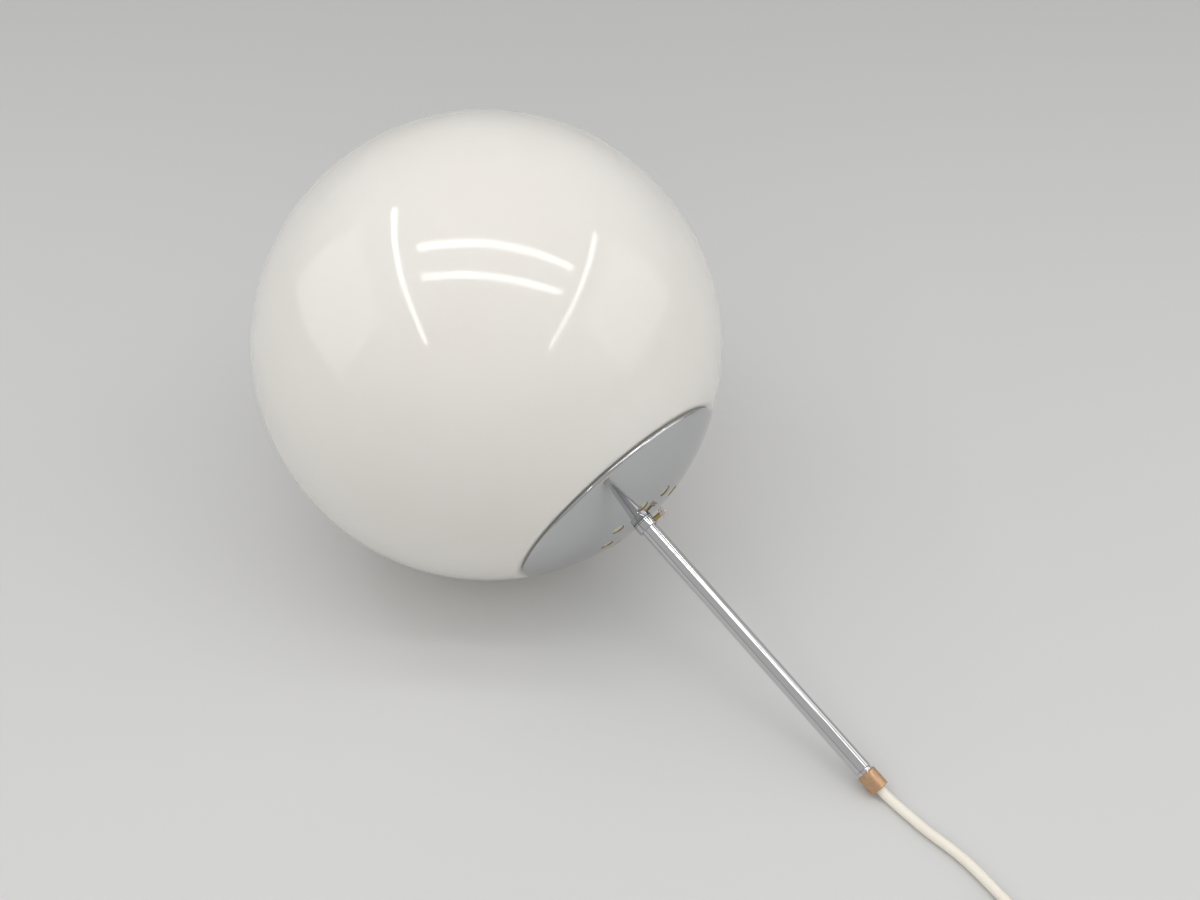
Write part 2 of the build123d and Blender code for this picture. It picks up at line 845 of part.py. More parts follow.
def cord_tie():
    """Flat band round the coil, on the side where all the turns share one centre."""
    _, middle, _ = coil_turns()
    inner = sqrt((middle - cord_radius) ** 2 - (tie_width / 2) ** 2) - tie_clearance
    outer = coil_outer + cord_radius + tie_clearance
    top = coil_z + coil_pitch + cord_radius + tie_clearance
    low = tie_sheet + floor_gap
    wide, high = outer - inner, top - low
    hole = RectangleRounded(wide, high, tie_corner)
    band = RectangleRounded(wide + 2 * tie_sheet, high + 2 * tie_sheet, tie_corner + tie_sheet)
    section = Plane.XZ * (Pos((inner + outer) / 2, (top + low) / 2) * (band - hole))
    tie = extrude(section, tie_width / 2, both=True)
    return Pos(*coil_centre, 0) * Rot(0, 0, coil_entry_angle - 90) * tie


def core_path(side):
    """One core, bent like the coil's outer turn and sinking onto the turn below."""
    _, end, way = coil_path()
    centre = (end[0] + coil_outer * way[1], end[1] - coil_outer * way[0])
    reach = coil_outer - side * core_spread
    start_angle = atan2(end[1] - centre[1], end[0] - centre[0])
    angle = start_angle - core_tail / coil_outer
    start = (centre[0] + reach * cos(start_angle), centre[1] + reach * sin(start_angle), end[2])
    last = (centre[0] + reach * cos(angle), centre[1] + reach * sin(angle), end[2] - core_tail_drop)
    return TangentArc(start, last, tangent=(*way, 0))


def cord_cores():
    return together(swept(core_path(side), core_radius) for side in (-1, 1))


def core_ferrules():
    sleeves = []
    for side in (-1, 1):
        path = core_path(side)
        section = Plane(origin=path @ 1, z_dir=path % 1) * Circle(core_radius + ferrule_wall)
        sleeves.append(extrude(section, ferrule_length))
    return together(sleeves)


lamp_pieces = {
    "glass_globe": glass_globe,
    "cap_dome": cap_dome,
    "cap_collar": cap_collar,
    "cap_ring_nut": cap_ring_nut,
    "thumb_screw": thumb_screw,
    "rod_tube": rod_tube,
    "rod_end_bush": rod_end_bush,
    "rod_end_cap": rod_end_cap,
    "cord_grip_ring": cord_grip_ring,
    "holder_hub": holder_hub,
    "holder_pins": holder_pins,
    "holder_washer": holder_washer,
    "holder_nut": holder_nut,
    "socket_cap": socket_cap,
    "socket_skirt": socket_skirt,
    "socket_insert": socket_insert,
    "socket_thread_shell": socket_thread_shell,
    "socket_centre_contact": socket_centre_contact,
    "socket_terminals": socket_terminals,
    "terminal_screws": terminal_screws,
    "bulb_glass": bulb_glass,
    "bulb_base": bulb_base,
    "bulb_insulator": bulb_insulator,
    "bulb_contact": bulb_contact,
    "rod_cord": rod_cord,
    "lamp_cores": lamp_cores,
}

floor_pieces = {
    "mains_cord": mains_cord,
    "cord_coil": cord_coil,
    "cord_tie": cord_tie,
    "cord_cores": cord_cores,
    "core_ferrules": core_ferrules,
}

if __name__ == "__main__":
    for name, make in lamp_pieces.items():
        export_step(laid * make(), f"parts/{name}.step")
    for number, angle in enumerate(around(arm_count, first_arm_angle), start=1):
        export_step(laid * holder_arm(angle), f"parts/holder_arm_{number}.step")
        export_step(laid * arm_tip(angle), f"parts/arm_tip_{number}.step")
        export_step(laid * arm_spring(angle), f"parts/arm_spring_{number}.step")
    for name, make in floor_pieces.items():
        export_step(make(), f"parts/{name}.step")
    print("tilt", round(degrees(lean), 3), "globe centre x", round(globe_x, 3), "lamp end", round(lamp_end, 3))
    print("arm slope", round(degrees(arm_slope), 2), "elbow", [round(v, 2) for v in elbow])
    print("dome radius", round(dome_radius, 2), "exit", round(exit_x, 2), round(exit_z, 2))
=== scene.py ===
import json
from math import asin, cos, pi, radians, sin, sqrt

import bmesh
import bpy
from mathutils import Matrix, Vector


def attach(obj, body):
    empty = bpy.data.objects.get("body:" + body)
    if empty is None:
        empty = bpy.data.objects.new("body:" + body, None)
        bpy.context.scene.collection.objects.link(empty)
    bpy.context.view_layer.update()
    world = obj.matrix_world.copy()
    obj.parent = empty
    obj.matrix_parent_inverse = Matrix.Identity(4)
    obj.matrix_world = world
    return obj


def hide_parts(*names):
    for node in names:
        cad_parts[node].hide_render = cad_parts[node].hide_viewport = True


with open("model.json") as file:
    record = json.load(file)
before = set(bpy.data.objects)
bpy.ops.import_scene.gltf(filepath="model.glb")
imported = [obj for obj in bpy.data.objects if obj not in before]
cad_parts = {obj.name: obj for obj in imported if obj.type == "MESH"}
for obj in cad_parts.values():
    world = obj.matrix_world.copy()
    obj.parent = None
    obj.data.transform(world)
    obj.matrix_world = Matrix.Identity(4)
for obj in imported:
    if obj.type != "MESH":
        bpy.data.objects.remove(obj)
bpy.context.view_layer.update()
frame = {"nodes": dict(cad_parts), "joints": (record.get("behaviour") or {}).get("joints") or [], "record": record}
nodes = frame["nodes"]
joints = {joint["name"]: joint for joint in frame["joints"]}
scene = bpy.context.scene

# the lamp's own frame: globe centre at the origin, rod along +Z, as in the CAD source
globeCentre = Vector(joints["globe_turn"]["pos_m"])
lampAxis = Vector(joints["globe_turn"]["axis"]).normalized()
lampSide = Vector((lampAxis.z, 0.0, -lampAxis.x))
lampFrame = Matrix(
    [
        (lampSide.x, 0.0, lampAxis.x, globeCentre.x),
        (lampSide.y, 1.0, lampAxis.y, globeCentre.y),
        (lampSide.z, 0.0, lampAxis.z, globeCentre.z),
        (0.0, 0.0, 0.0, 1.0),
    ]
)
lampTurn = lampFrame.to_3x3().inverted().to_euler()  # turns row coordinates onto the lamp's axis


# Camera, floor and light

studio = {
    "focalLength": 48.0,
    "sensorWidth": 36.0,
    "azimuth": 44.9,
    "elevation": 43.9,
    "position": (0.51258, -0.50843, 0.81723),
    "floorSize": 60.0,
    "floorDrop": 0.0002,  # just under the lamp, so that nothing flickers
    "floorColour": (0.62, 0.62, 0.615, 1.0),
    "floorRoughness": 0.6,
    "worldStrength": 0.56,
    "horizon": (0.03, (0.66, 0.662, 0.665, 1.0)),  # height in the world's ramp, and colour
    "sky": (0.30, (1.0, 1.0, 0.995, 1.0)),
    "stripRadiance": 6.5,
    "stripWidth": 0.06,
    "stripHeight": 0.9,  # above the globe's centre
    "strips": [  # both ends of each strip, as shares of that height
        ((-0.82, -0.16), (0.35, -1.26)),
        ((0.41, 0.98), (1.53, -0.22)),
        ((-0.29, -0.38), (0.66, 0.46)),
        ((-0.10, -0.56), (0.81, 0.23)),
    ],
    "wallPower": 4.5,
    "wallSize": (1.6, 1.1),
    "wallDistance": 1.7,
    "wallHeight": 0.85,
    "frontPower": 6.5,
    "frontSize": (1.9, 1.0),
    "frontDistance": 1.9,
    "frontHeight": 1.1,
    "aimHeight": 0.1,
}


def setCamera():
    camera = bpy.data.objects.new("camera", bpy.data.cameras.new("camera"))
    scene.collection.objects.link(camera)
    camera.data.lens = studio["focalLength"]
    camera.data.sensor_width = studio["sensorWidth"]
    camera.data.clip_end = 30.0
    camera.location = studio["position"]
    camera.rotation_euler = (pi / 2 - radians(studio["elevation"]), 0.0, radians(studio["azimuth"]))
    scene.camera = camera


def areaLight(name, place, along, towards, size, power, mirrored=True):
    light = bpy.data.lights.new(name, "AREA")
    light.shape = "RECTANGLE"
    light.size, light.size_y = size
    light.energy = power
    lamp = bpy.data.objects.new(name, light)
    lamp.visible_glossy = mirrored
    scene.collection.objects.link(lamp)
    back = -Vector(towards).normalized()
    side = (Vector(along) - back * Vector(along).dot(back)).normalized()
    up = back.cross(side)
    lamp.matrix_world = Matrix.Translation(place) @ Matrix((side, up, back)).transposed().to_4x4()


def setStudio():
    world = bpy.data.worlds.new("studio")
    scene.world = world
    world.use_nodes = True
    tree = world.node_tree
    tree.nodes.clear()
    out = tree.nodes.new("ShaderNodeOutputWorld")
    background = tree.nodes.new("ShaderNodeBackground")
    background.inputs["Strength"].default_value = studio["worldStrength"]
    place = tree.nodes.new("ShaderNodeTexCoord")
    split = tree.nodes.new("ShaderNodeSeparateXYZ")
    ramp = tree.nodes.new("ShaderNodeValToRGB")
    for stop, (position, colour) in zip(ramp.color_ramp.elements, (studio["horizon"], studio["sky"])):
        stop.position = position
        stop.color = colour
    tree.links.new(place.outputs["Generated"], split.inputs[0])
    tree.links.new(split.outputs["Z"], ramp.inputs["Fac"])
    tree.links.new(ramp.outputs["Color"], background.inputs["Color"])
    tree.links.new(background.outputs[0], out.inputs["Surface"])

    place = (0.0, 0.0, -studio["floorDrop"])
    bpy.ops.mesh.primitive_plane_add(size=studio["floorSize"], location=place)
    floor = bpy.context.object
    floor.name = "studioFloor"
    floor.data.materials.append(
        plainMaterial("studioFloorPaint", studio["floorColour"], studio["floorRoughness"])
    )
    # four strips under the roof of a light tent, and its two pale side walls
    height, width = studio["stripHeight"], studio["stripWidth"]
    for number, ends in enumerate(studio["strips"], start=1):
        first, last = (globeCentre + Vector((*end, 1.0)) * height for end in ends)
        run = last - first
        power = studio["stripRadiance"] * pi * run.length * width
        areaLight(f"roofStrip{number}", (first + last) / 2, run, (0, 0, -1), (run.length, width), power)
    across = Vector((cos(radians(studio["azimuth"])), sin(radians(studio["azimuth"])), 0.0))
    nearer = across.cross(Vector((0, 0, 1)))  # level, from the lamp to the camera
    aim = Vector((0.0, 0.0, studio["aimHeight"]))
    for name, side in (("leftWall", -1), ("rightWall", 1)):
        place = across * side * studio["wallDistance"] + Vector((0.0, 0.0, studio["wallHeight"]))
        areaLight(name, place, nearer, aim - place, studio["wallSize"], studio["wallPower"])
    place = nearer * studio["frontDistance"] + Vector((0.0, 0.0, studio["frontHeight"]))
    # the front wall lights the glass but doesn't mirror in it as a square
    size, power = studio["frontSize"], studio["frontPower"]
    areaLight("frontWall", place, across, aim - place, size, power, mirrored=False)
    print("studio set")


# Materials

class Shader:  # a principled material with its nodes at hand
    def __init__(self, name, colour, roughness, metallic=0.0):
        self.material = bpy.data.materials.new(name)
        self.material.use_nodes = True
        self.tree = self.material.node_tree
        self.surface = self.tree.nodes["Principled BSDF"]
        self.put("Base Color", colour)
        self.put("Roughness", roughness)
        self.put("Metallic", metallic)
        self.place = None

    def put(self, socket, value):
        self.surface.inputs[socket].default_value = value

    def node(self, kind, **values):
        made = self.tree.nodes.new(kind)
        for key, value in values.items():
            if key in made.inputs:
                made.inputs[key].default_value = value
            else:
                setattr(made, key, value)
        return made

    def link(self, source, target):
        self.tree.links.new(source, target)

    def coordinates(self, stretch=(1.0, 1.0, 1.0), alongLamp=True):
        if self.place is None:
            self.place = self.node("ShaderNodeTexCoord")
        shift = self.node("ShaderNodeMapping", vector_type="POINT")
        if alongLamp:
            shift.inputs["Rotation"].default_value = lampTurn
            shift.inputs["Location"].default_value = -(lampFrame.to_3x3().inverted() @ globeCentre)
        self.link(self.place.outputs["Object"], shift.inputs["Vector"])
        scaled = self.node("ShaderNodeVectorMath", operation="MULTIPLY")
        scaled.inputs[1].default_value = stretch
        self.link(shift.outputs["Vector"], scaled.inputs[0])
        return scaled.outputs["Vector"]

    def noise(self, size, stretch=(1.0, 1.0, 1.0), detail=4.0, alongLamp=True):
        cloud = self.node("ShaderNodeTexNoise", Scale=1.0 / size, Detail=detail)
        self.link(self.coordinates(stretch, alongLamp), cloud.inputs["Vector"])
        return cloud.outputs["Fac"]

    def rangeOf(self, value, low, high, start=0.3, stop=0.7):
        mapped = self.node("ShaderNodeMapRange")
        mapped.inputs["From Min"].default_value = start
        mapped.inputs["From Max"].default_value = stop
        mapped.inputs["To Min"].default_value = low
        mapped.inputs["To Max"].default_value = high
        self.link(value, mapped.inputs["Value"])
        return mapped.outputs["Result"]

    def tint(self, value, low, high, start=0.3, stop=0.7):
        mix = self.node("ShaderNodeMix", data_type="RGBA")
        mix.inputs[6].default_value = low
        mix.inputs[7].default_value = high
        self.link(self.rangeOf(value, 0.0, 1.0, start, stop), mix.inputs[0])
        self.link(mix.outputs[2], self.surface.inputs["Base Color"])

    def rough(self, value, low, high, start=0.3, stop=0.7):
        self.link(self.rangeOf(value, low, high, start, stop), self.surface.inputs["Roughness"])

    def bump(self, value, height, strength=1.0):
        bump = self.node("ShaderNodeBump", Strength=strength, Distance=height)
        self.link(value, bump.inputs["Height"])
        if self.surface.inputs["Normal"].is_linked:
            self.link(self.surface.inputs["Normal"].links[0].from_socket, bump.inputs["Normal"])
        self.link(bump.outputs["Normal"], self.surface.inputs["Normal"])


def plainMaterial(name, colour, roughness):
    paint = Shader(name, colour, roughness)
    paint.rough(paint.noise(0.4, alongLamp=False), roughness - 0.03, roughness + 0.03)
    return paint.material


def opalGlass():
    glass = Shader("opalGlass", (0.82, 0.785, 0.735, 1.0), 0.06)
    glass.tint(glass.noise(0.09, detail=2.0), (0.81, 0.775, 0.72, 1.0), (0.83, 0.80, 0.755, 1.0))
    glass.rough(glass.noise(0.03), 0.045, 0.10)
    glass.put("IOR", 1.5)
    glass.put("Subsurface Weight", 0.8)
    glass.put("Subsurface Radius", (0.0095, 0.0098, 0.0104))
    glass.put("Subsurface Scale", 1.0)
    glass.bump(glass.noise(0.05, detail=1.0), 0.00025)
    return glass.material


def mirrorChrome():
    chrome = Shader("mirrorChrome", (0.545, 0.55, 0.56, 1.0), 0.04, 1.0)
    chrome.rough(chrome.noise(0.012, detail=6.0), 0.015, 0.055)
    chrome.bump(chrome.noise(0.0009, stretch=(1.0, 1.0, 0.08), detail=2.0), 0.0000025)
    return chrome.material


def rodChrome():
    chrome = Shader("rodChrome", (0.62, 0.612, 0.625, 1.0), 0.06, 1.0)
    chrome.rough(chrome.noise(0.006, stretch=(1.0, 1.0, 0.15), detail=6.0), 0.015, 0.055)
    chrome.bump(chrome.noise(0.0012, stretch=(1.0, 1.0, 0.02), detail=1.0), 0.0000015)
    return chrome.material


def brownAnodised():
    brown = Shader("brownAnodised", (0.53, 0.33, 0.20, 1.0), 0.36, 0.8)
    lines = brown.noise(0.0004, stretch=(0.02, 0.02, 1.0), detail=3.0)
    brown.tint(brown.noise(0.003), (0.50, 0.305, 0.175, 1.0), (0.59, 0.38, 0.232, 1.0))
    brown.rough(lines, 0.32, 0.44)
    brown.bump(lines, 0.000008)
    return brown.material


def creamSheath():
    sheath = Shader("creamSheath", (0.85, 0.795, 0.70, 1.0), 0.42)
    cloud = sheath.noise(0.02, alongLamp=False)
    sheath.tint(cloud, (0.83, 0.77, 0.67, 1.0), (0.87, 0.82, 0.73, 1.0))
    sheath.rough(sheath.noise(0.004, alongLamp=False), 0.36, 0.52)
    sheath.bump(sheath.noise(0.0012, alongLamp=False), 0.00002)
    return sheath.material


def metal(name, colour, roughness, grain=0.0008, dark=0.85, depth=0.000006):
    made = Shader(name, colour, roughness, 1.0)
    shade = tuple(c * dark for c in colour[:3]) + (1.0,)
    made.tint(made.noise(grain * 9), shade, colour)
    made.rough(made.noise(grain * 4), roughness - 0.06, roughness + 0.08)
    made.bump(made.noise(grain), depth)
    return made.material


def moulded(name, colour, roughness, grain=0.0009, depth=0.00001):
    made = Shader(name, colour, roughness)
    shade = tuple(c * 0.93 for c in colour[:3]) + (1.0,)
    made.tint(made.noise(grain * 12), shade, colour)
    made.rough(made.noise(grain * 5), roughness - 0.05, roughness + 0.07)
    made.bump(made.noise(grain), depth)
    return made.material


# cream lacquer lining with a painted glow: its emission stands in for the light inside the globe, though the
# lining is no lamp
def creamLiningPaintedGlow():
    paintedGlowLining = moulded("creamLiningPaintedGlow", (0.74, 0.71, 0.61, 1.0), 0.45)
    surface = paintedGlowLining.node_tree.nodes["Principled BSDF"]
    surface.inputs["Emission Color"].default_value = (0.90, 0.86, 0.74, 1.0)
    surface.inputs["Emission Strength"].default_value = 0.36  # painted glow, standing in for daylight gathered inside the opal ball
    return paintedGlowLining


def frostedGlass():
    glass = Shader("frostedGlass", (0.90, 0.90, 0.88, 1.0), 0.28)
    glass.rough(glass.noise(0.004), 0.22, 0.36)
    glass.bump(glass.noise(0.0008), 0.000008)
    return glass.material


finishes = {
    "opal_glass": opalGlass(),
    "chrome": mirrorChrome(),
    "satin_steel": metal("zincPlate", (0.52, 0.52, 0.53, 1.0), 0.30),
    "spring_steel": metal("springWire", (0.26, 0.26, 0.27, 1.0), 0.34),
    "brass": metal("plainBrass", (0.62, 0.44, 0.17, 1.0), 0.26),
    "nickel_screw": metal("warmNickel", (0.84, 0.77, 0.73, 1.0), 0.12, dark=0.95),
    "brown_cap": brownAnodised(),
    "rubber": moulded("blackRubber", (0.03, 0.03, 0.03, 1.0), 0.62),
    "grip_rubber": moulded("greyRubber", (0.28, 0.26, 0.22, 1.0), 0.66),
    "cord": creamSheath(),
    "core_a": moulded("brownCore", (0.14, 0.075, 0.035, 1.0), 0.38),
    "ceramic": moulded("glazedCeramic", (0.74, 0.72, 0.66, 1.0), 0.14),
    "socket_body": moulded("whiteThermoset", (0.70, 0.685, 0.64, 1.0), 0.24),
    "bulb_glass": frostedGlass(),
    "bulb_metal": metal("bulbCapMetal", (0.60, 0.60, 0.59, 1.0), 0.28),
    "black_glass": moulded("blackInsulator", (0.015, 0.015, 0.018, 1.0), 0.10),
    "tie": moulded("tieStrap", (0.56, 0.54, 0.49, 1.0), 0.44),
}
rodFinish = rodChrome()
ventEdge = metal("rawBrassEdge", (0.66, 0.55, 0.30, 1.0), 0.26)
# the cap's lining: cream lacquer with a painted glow
capLiningPaintedGlow = creamLiningPaintedGlow()
shankBrass = metal("oliveBrass", (0.50, 0.37, 0.13, 1.0), 0.24)
print("materials made")


# Cord: the route's points and the coil's half turns, as in the CAD source

cordPlan = {
    "radius": 0.0031,
    "floorHeight": 0.00315,
    "coilHeight": 0.0038,
    "route": [(0.2611, -0.0010), (0.2801, -0.0026), (0.3046, -0.0019), (0.3301, -0.0063)],
    "coilCentre": (0.380, -0.066),
    "coilOuter": 0.046,
    "coilPitch": 0.00675,
    "halfTurns": 6,  # in each layer, besides the one that climbs
    "entryAngle": 75.0,
    "endRun": 0.0062,
    "lead": 0.026,
    "pointsPerHalfTurn": 8,
    "insideCap": 0.002,
    "length": 1.65,
}


def onLamp(x, y, z):
    return lampFrame @ Vector((x, y, z))


def cordPoints():
    plan = cordPlan
    lampEnd = endPlan["capTop"]
    low, coilLow = plan["floorHeight"], plan["coilHeight"]
    leave = onLamp(0, 0, lampEnd)
    down = leave + lampAxis * ((leave.z - low) / -lampAxis.z)
    entry = radians(plan["entryAngle"])
    heading = Vector((sin(entry), -cos(entry), 0.0))
    centre = Vector((*plan["coilCentre"], 0.0))
    place = centre + Vector((cos(entry), sin(entry), 0.0)) * plan["coilOuter"]
    place.z = coilLow
    points = [leave - lampAxis * plan["insideCap"], leave, down]
    points += [Vector((x, y, low)) for x, y in plan["route"]]
    points.append(place - heading * (plan["endRun"] + plan["lead"]))
    points.append(place - heading * plan["endRun"])
    halves = plan["halfTurns"]
    step = plan["coilPitch"] / 2
    radii = [plan["coilOuter"] - step * k for k in range(halves)]
    radii += [plan["coilOuter"] - step * halves] + radii[::-1]
    count = plan["pointsPerHalfTurn"]
    angle = entry
    for number, radius in enumerate(radii):
        outward = Vector((cos(angle), sin(angle), 0.0))
        middle = place - outward * radius
        rise = plan["coilPitch"] if number == halves else 0.0
        for i in range(count):
            turn = angle - pi * (i + 0.5) / count
            wide = radius / cos(pi / count / 2)
            point = middle + Vector((cos(turn), sin(turn), 0.0)) * wide
            points.append(point + Vector((0, 0, rise * (i + 0.5) / count)))
        place = middle - outward * radius
        place.z += rise
        angle -= pi
    ahead = Vector((sin(angle), -cos(angle), 0.0))
    points.append(place + ahead * plan["endRun"])
    return points


def makeCord():
    points = cordPoints()
    data = bpy.data.curves.new("mainsLead", "CURVE")
    data.dimensions = "3D"
    data.bevel_depth = cordPlan["radius"]
    data.bevel_resolution = 6
    data.resolution_u = 8
    data.use_fill_caps = True
    spline = data.splines.new("NURBS")
    spline.points.add(len(points) - 1)
    for point, place in zip(spline.points, points):
        point.co = (*place, 1.0)
    spline.order_u = 3
    spline.use_endpoint_u = True
    lead = bpy.data.objects.new("mainsLead", data)
    scene.collection.objects.link(lead)
    data.materials.append(finishes["cord"])
    return lead


# Turned pieces: one Geometry Nodes tree turns an outline round the lamp's axis

def addSocket(tree, name, kind, value=None, output=False):
    socket = tree.interface.new_socket(name, in_out="OUTPUT" if output else "INPUT", socket_type=kind)
    if value is not None:
        socket.default_value = value
    return socket


class Tree:  # a Geometry Nodes tree with short ways to add and join nodes
    def __init__(self, name, inputs):
        self.tree = bpy.data.node_groups.new(name, "GeometryNodeTree")
        addSocket(self.tree, "Geometry", "NodeSocketGeometry")
        for label, kind, value in inputs:
            addSocket(self.tree, label, kind, value)
        addSocket(self.tree, "Material", "NodeSocketMaterial")
        addSocket(self.tree, "Geometry", "NodeSocketGeometry", output=True)
        self.start = self.tree.nodes.new("NodeGroupInput")
        self.stop = self.tree.nodes.new("NodeGroupOutput")

    def value(self, label):
        return self.start.outputs[label]

    def node(self, kind, settings=None, **links):
        made = self.tree.nodes.new(kind)
        for key, value in (settings or {}).items():
            setattr(made, key, value)
        for key, value in links.items():
            socket = made.inputs[key.replace("_", " ")]
            if isinstance(value, bpy.types.NodeSocket):
                self.tree.links.new(value, socket)
            else:
                socket.default_value = value
        return made

    def math(self, operation, first, second=0.0):
        made = self.tree.nodes.new("ShaderNodeMath")
        made.operation = operation
        for index, value in enumerate((first, second)):
            if isinstance(value, bpy.types.NodeSocket):
                self.tree.links.new(value, made.inputs[index])
            else:
                made.inputs[index].default_value = value
        return made.outputs[0]

    def join(self, *shapes):
        made = self.tree.nodes.new("GeometryNodeJoinGeometry")
        for shape in shapes:
            self.tree.links.new(shape, made.inputs[0])
        return made.outputs[0]

    def paint(self, shape, label):
        return self.node("GeometryNodeSetMaterial", Geometry=shape, Material=self.value(label)).outputs[0]

    def finish(self, shape, painted=False):
        real = self.node("GeometryNodeRealizeInstances", Geometry=shape).outputs[0]
        if not painted:
            real = self.paint(real, "Material")
        self.tree.links.new(real, self.stop.inputs[0])
        return self.tree


spinRadius = 0.01  # the guide circle; outlines are drawn from it


def spun(tree, segments):
    outline = tree.node("GeometryNodeMeshToCurve", Mesh=tree.value("Geometry")).outputs[0]
    circle = tree.node("GeometryNodeCurvePrimitiveCircle", Resolution=segments, Radius=spinRadius)
    upright = tree.node("GeometryNodeSetCurveNormal", {"mode": "Z_UP"}, Curve=circle.outputs[0]).outputs[0]
    skin = tree.node("GeometryNodeCurveToMesh", Curve=upright, Profile_Curve=outline).outputs[0]
    return tree.node("GeometryNodeMergeByDistance", Geometry=skin, Distance=0.000001).outputs[0]


def turnedTree():
    tree = Tree("Turned Piece", [("Segments", "NodeSocketInt", 96)])
    return tree.finish(spun(tree, tree.value("Segments")))


def outlineMesh(name, outline, closed):
    mesh = bpy.data.meshes.new(name)
    corners = [(r - spinRadius, -z, 0.0) for r, z in outline]
    edges = [(i, i + 1) for i in range(len(corners) - 1)]
    if closed:
        edges.append((len(corners) - 1, 0))
    mesh.from_pydata(corners, edges, [])
    return mesh


def settle(source, name, crease=30.0, placed=lampFrame):
    depsgraph = bpy.context.evaluated_depsgraph_get()
    mesh = bpy.data.meshes.new_from_object(source.evaluated_get(depsgraph))
    source.modifiers.clear()
    bpy.data.objects.remove(source)
    shell = bmesh.new()
    shell.from_mesh(mesh)
    bmesh.ops.remove_doubles(shell, verts=shell.verts, dist=0.000001)
    bmesh.ops.recalc_face_normals(shell, faces=shell.faces)
    shell.to_mesh(mesh)
    shell.free()
    mesh.transform(placed)
    mesh.shade_smooth()
    mesh.set_sharp_from_angle(angle=radians(crease))
    mesh.name = name
    piece = bpy.data.objects.new(name, mesh)
    scene.collection.objects.link(piece)
    return piece


def grown(name, mesh, tree, values):
    source = bpy.data.objects.new(name + "Source", mesh)
    scene.collection.objects.link(source)
    modifier = source.modifiers.new("shape", "NODES")
    modifier.node_group = tree
    for item in tree.interface.items_tree:
        if item.in_out == "INPUT" and item.name in values:
            modifier[item.identifier] = values[item.name]
    return source


def arc(centre, radius, start, stop, count):
    steps = [start + (stop - start) * i / count for i in range(count + 1)]
    return [(centre[0] + radius * cos(t), centre[1] + radius * sin(t)) for t in steps]


def softened(corners, radius, steps=3):
    rounded = []
    count = len(corners)
    for i, corner in enumerate(corners):
        here = Vector(corner)
        before = Vector(corners[i - 1]) - here
        after = Vector(corners[(i + 1) % count]) - here
        reach = min(radius, before.length * 0.45, after.length * 0.45)
        first, last = here + before.normalized() * reach, here + after.normalized() * reach
        for k in range(steps + 1):
            t = k / steps
            rounded.append(tuple(first * (1 - t) ** 2 + here * 2 * t * (1 - t) + last * t * t))
    return rounded


turned = turnedTree()


def turnedPiece(name, outline, material, segments=96, crease=30.0):
    mesh = outlineMesh(name + "Outline", outline, True)
    source = grown(name, mesh, turned, {"Segments": segments, "Material": material})
    return settle(source, name, crease)


def dress(piece, body, slot, *replaced):
    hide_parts(*replaced)
    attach(piece, body)
    print("made", piece.name)


# Globe: a blown ball, cut flat and ground at its mouth

globePlan = {
    "radius": 0.150,
    "wall": 0.0036,
    "mouthRadius": 0.075,
    "mouthEdge": 0.0005,
    "rings": 128,
    "segments": 192,
}


def makeGlobe():
    plan = globePlan
    outer, inner = plan["radius"], plan["radius"] - plan["wall"]
    mouthZ = sqrt(inner**2 - plan["mouthRadius"] ** 2)
    edge = plan["mouthEdge"]
    outerStop = asin((mouthZ - edge) / outer)
    innerStop = asin((mouthZ - edge) / inner)
    outside = arc((0, 0), outer, -pi / 2, outerStop, plan["rings"])
    inside = arc((0, 0), inner, innerStop, -pi / 2, plan["rings"])
    mouthOuter = sqrt(outer**2 - mouthZ**2)
    lip = [(mouthOuter - edge, mouthZ), (plan["mouthRadius"] + edge, mouthZ)]
    outline = outside + lip + inside
    outline[0] = (0.0, -outer)
    outline[-1] = (0.0, -inner)
    mesh = outlineMesh("globeOutline", outline, False)
    values = {"Segments": plan["segments"], "Material": finishes["opal_glass"]}
    return settle(grown("opalGlobe", mesh, turned, values), "opalGlobe", 25.0)


# Cap: a shallow spun dome with a rolled rim and round vents

capPlan = {
    "rise": 0.0253,
    "overlap": 0.0028,
    "sheet": 0.0009,
    "curl": 0.0018,
    "curlTurn": 189.0,
    "seatGap": 0.0003,
    "holeRadius": 0.00635,
    "rings": 56,
    "segments": 192,
    "vents": 8,
    "ventRadius": 0.0043,
    "ventRing": 0.027,
    "firstVent": 19.0,
}
mouthZ = sqrt((globePlan["radius"] - globePlan["wall"]) ** 2 - globePlan["mouthRadius"] ** 2)
domeTop = mouthZ + capPlan["rise"]


def domeCircle():
    plan = capPlan
    rimX = globePlan["mouthRadius"] + plan["overlap"] - plan["curl"]
    rimZ = mouthZ + plan["seatGap"] + plan["curl"]
    rise = domeTop - rimZ
    radius = ((rise**2 + rimX**2 - plan["curl"] ** 2) / 2) / (rise - plan["curl"])
    return radius, domeTop - radius, rimX, rimZ


